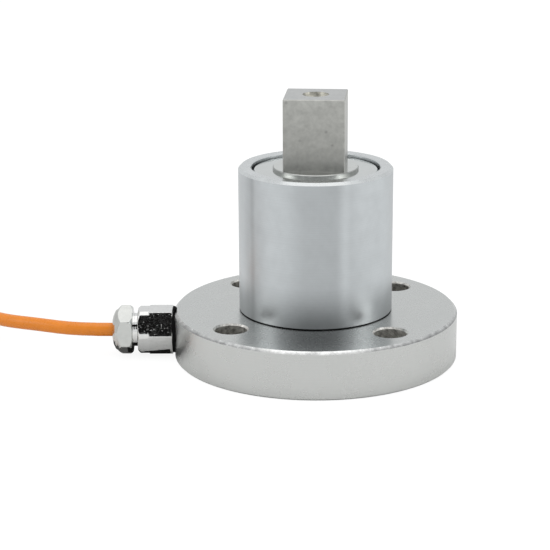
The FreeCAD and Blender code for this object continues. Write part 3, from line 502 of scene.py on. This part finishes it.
def stage_plane(name, width, height, place, toward, material):
    bm = bmesh.new()
    corners = [(-width / 2, -height / 2, 0), (width / 2, -height / 2, 0),
               (width / 2, height / 2, 0), (-width / 2, height / 2, 0)]
    bm.faces.new([bm.verts.new(corner) for corner in corners])
    mesh = bpy.data.meshes.new(name)
    bm.to_mesh(mesh)
    bm.free()
    mesh.materials.append(material)
    plane = bpy.data.objects.new(name, mesh)
    bpy.context.scene.collection.objects.link(plane)
    plane.location = place
    if toward is not None:
        plane.rotation_euler = (Vector(toward) - Vector(place)).to_track_quat("Z", "Y").to_euler()
    return plane


def floor_material():
    """White in the picture, pale grey to everything that the floor lights or is mirrored in."""
    material, tree, bsdf = graph("pale_floor")
    tree.nodes.remove(bsdf)
    out = tree.nodes["Material Output"]
    lit = add(tree, "ShaderNodeBsdfDiffuse", Color=(0.72, 0.72, 0.715, 1))
    glow = add(tree, "ShaderNodeEmission", Color=(1, 1, 1, 1), Strength=1.12)
    seen = add(tree, "ShaderNodeLightPath").outputs["Is Camera Ray"]
    share = calculate(tree, "MULTIPLY", seen, 0.8)
    mix = tree.nodes.new("ShaderNodeMixShader")
    tree.links.new(share, mix.inputs[0])
    tree.links.new(lit.outputs[0], mix.inputs[1])
    tree.links.new(glow.outputs[0], mix.inputs[2])
    tree.links.new(mix.outputs[0], out.inputs["Surface"])
    return material


def screen_material(name, brightness):
    """A screen that reflections see as one even grey."""
    material, tree, bsdf = graph(name)
    tree.nodes.remove(bsdf)
    glow = add(tree, "ShaderNodeEmission", Color=(1, 1, 1, 1), Strength=brightness)
    tree.links.new(glow.outputs[0], tree.nodes["Material Output"].inputs["Surface"])
    return material


def make_world():
    world = bpy.data.worlds.new("studio")
    bpy.context.scene.world = world
    world.use_nodes = True
    tree = world.node_tree
    tree.nodes.clear()
    room = add(tree, "ShaderNodeBackground", Color=(0.97, 0.985, 1, 1), Strength=0.8)
    white = add(tree, "ShaderNodeBackground", Color=(1, 1, 1, 1), Strength=1.1)
    seen = add(tree, "ShaderNodeLightPath").outputs["Is Camera Ray"]
    mix = tree.nodes.new("ShaderNodeMixShader")
    tree.links.new(seen, mix.inputs[0])
    tree.links.new(room.outputs[0], mix.inputs[1])
    tree.links.new(white.outputs[0], mix.inputs[2])
    out = tree.nodes.new("ShaderNodeOutputWorld")
    tree.links.new(mix.outputs[0], out.inputs["Surface"])


def soft_light(name, place, toward, width, height, power):
    data = bpy.data.lights.new(name, "AREA")
    data.shape = "RECTANGLE"
    data.size = width
    data.size_y = height
    data.energy = power
    light = bpy.data.objects.new(name, data)
    bpy.context.scene.collection.objects.link(light)
    light.location = place
    light.rotation_euler = (Vector(toward) - Vector(place)).to_track_quat("-Z", "Y").to_euler()


def reflections_only(plane):
    plane.visible_camera = False
    plane.visible_diffuse = False
    plane.visible_shadow = False


def make_stage():
    make_world()
    stage_plane("floor", 14, 14, (0, 0, -0.0002), None, floor_material())
    soft_light("overhead", (0.0, 0.15, 1.3), (0, 0, 0), 1.35, 1.35, 7.3)
    soft_light("right", (1.2, -0.25, 0.55), (0, 0, 0.05), 0.7, 0.8, 4)
    soft_light("left", (-1.2, -0.35, 0.6), (0, 0, 0.05), 0.7, 0.8, 3.5)
    dark = screen_material("dark_screen", 0.009)
    grey = screen_material("grey_screen", 0.1)
    pale = screen_material("pale_screen", 0.72)
    for name, width, height, place, toward, material in (
            ("front_screen", 1.1, 0.24, (-0.02, -0.66, 0.63), (-0.06, 0, 0.01), dark),
            ("overhead_screen", 1.35, 1.35, (0.0, 0.152, 1.32), (0, 0, 0), dark),
            # Dim screens that only reflections see: painted shadow on the floor under the gland and
            # its body, and a painted dark reflection beside its neck.
            ("painted_shadow_under_gland", 0.03, 0.0115, (-0.0675, -0.00475, 0.0006), None, grey),
            ("painted_shadow_under_body", 0.016, 0.0121, (-0.061, -0.00505, 0.0008), None, dark),
            ("painted_reflection_beside_neck", 0.0034, 0.007, (-0.0664, -0.0178, 0.01655),
             (-0.0664, -0.0113, 0.0119), dark),
            ("coil_screen", 0.17, 0.06, (-0.1285, 0.04, 0.03), (0, 0.04, 0.03), pale)):
        reflections_only(stage_plane(name, width, height, place, toward, material))


# Camera, placed as the photograph's, in metres and degrees

CAMERA_PLACE = Vector((40.46, -630.35, 216.09)) * MM
CAMERA_HEADING = 5.022
CAMERA_TILT = 16.427
CAMERA_ROLL = -0.309
CAMERA_LENS = 117.43


def make_camera():
    data = bpy.data.cameras.new("camera")
    data.lens = CAMERA_LENS
    data.sensor_width = 36
    camera = bpy.data.objects.new("camera", data)
    bpy.context.scene.collection.objects.link(camera)
    turn = Matrix.Rotation(math.radians(CAMERA_HEADING), 4, "Z")
    tilt = Matrix.Rotation(math.radians(90 - CAMERA_TILT), 4, "X")
    roll = Matrix.Rotation(math.radians(CAMERA_ROLL), 4, "Z")
    camera.matrix_world = Matrix.Translation(CAMERA_PLACE) @ turn @ tilt @ roll
    bpy.context.scene.camera = camera


# Cable: the route's points in millimetres, then the coil's turns by a loop

CABLE_DIAMETER = 5
CABLE_EXIT = (-73.617, -6.441, 9.25)
LEAD_ROUTE = [
    CABLE_EXIT,
    (-87.564, -7.661, 9.25),
    (-104.0, -2.0, 9.15),
    (-118.5, 5.2, 8.0),
    (-129.0, 17.0, 6.4),
    (-135.4, 29.6, 4.5),
]
TAIL_ROUTE = [
    (-213.2, 29.5, 17.4),
    (-212.9, 18.5, 12.6),
    (-212.0, 8.0, 6.9),
    (-210.6, -3.0, 3.25),
    (-209.4, -11.0, 3.1),
]
COIL_CENTRE = (-176.75, 42.0)
COIL_FLOOR = 3.3
COIL_INNER = 18.75
COIL_OUTER = 38.75
COIL_LAYERS = 4
TURNS_PER_LAYER = 4
COIL_TURNS = 15.5
POINTS_PER_TURN = 20
LAYER_CLIMB = 0.15


def coil_points():
    """Control points of turns that wind inward on one layer and outward on the next.

    The points lie a little outside the turns, because the spline cuts inside its points.
    """
    points = []
    outside = 1 / math.cos(math.pi / POINTS_PER_TURN)
    for step in range(1, int(COIL_TURNS * POINTS_PER_TURN)):
        turn = step / POINTS_PER_TURN
        layer = min(int(turn / TURNS_PER_LAYER), COIL_LAYERS - 1)
        share = turn / TURNS_PER_LAYER - layer
        if layer % 2:
            share = 1 - share
        radius = (COIL_OUTER + (COIL_INNER - COIL_OUTER) * share) * outside
        angle = 2 * math.pi * turn
        into_layer = (turn - layer * TURNS_PER_LAYER) / LAYER_CLIMB
        climb = min(1, max(0, into_layer / 2 + 0.5))
        to_next = ((layer + 1) * TURNS_PER_LAYER - turn) / LAYER_CLIMB
        level = layer - (1 - climb if layer else 0)
        if layer < COIL_LAYERS - 1:
            level += max(0, 0.5 - to_next / 2)
        points.append((COIL_CENTRE[0] + radius * math.cos(angle),
                       COIL_CENTRE[1] + radius * math.sin(angle),
                       COIL_FLOOR + CABLE_DIAMETER * level))
    return points


def nurbs_cable(name, points, radius):
    """A round cord whose centreline is one smooth spline with these control points."""
    curve = bpy.data.curves.new(name, "CURVE")
    curve.dimensions = "3D"
    spline = curve.splines.new("NURBS")
    spline.points.add(len(points) - 1)
    for point, place in zip(spline.points, points):
        point.co = (*(Vector(place) * MM), 1)
        point.radius = radius * MM
    spline.order_u = 3
    spline.use_endpoint_u = True
    spline.resolution_u = 4
    curve.bevel_depth = 1
    curve.bevel_resolution = 6
    curve.use_fill_caps = True
    piece = bpy.data.objects.new(name, curve)
    bpy.context.scene.collection.objects.link(piece)
    return piece


def make_cable():
    start = (COIL_CENTRE[0] + COIL_OUTER, COIL_CENTRE[1], COIL_FLOOR)
    points = LEAD_ROUTE + [start] + coil_points() + TAIL_ROUTE
    cable = nurbs_cable("cable", points, CABLE_DIAMETER / 2)
    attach(cable, "root")
    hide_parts("cable_lead", "cable_coil", "cable_tail")
    cable.data.materials.append(BY_NODE["cable_entry"])


dress_cad_nodes()
make_thread()
make_camera()
make_cable()
make_stage()

bpy.context.scene.view_settings.view_transform = "Standard"
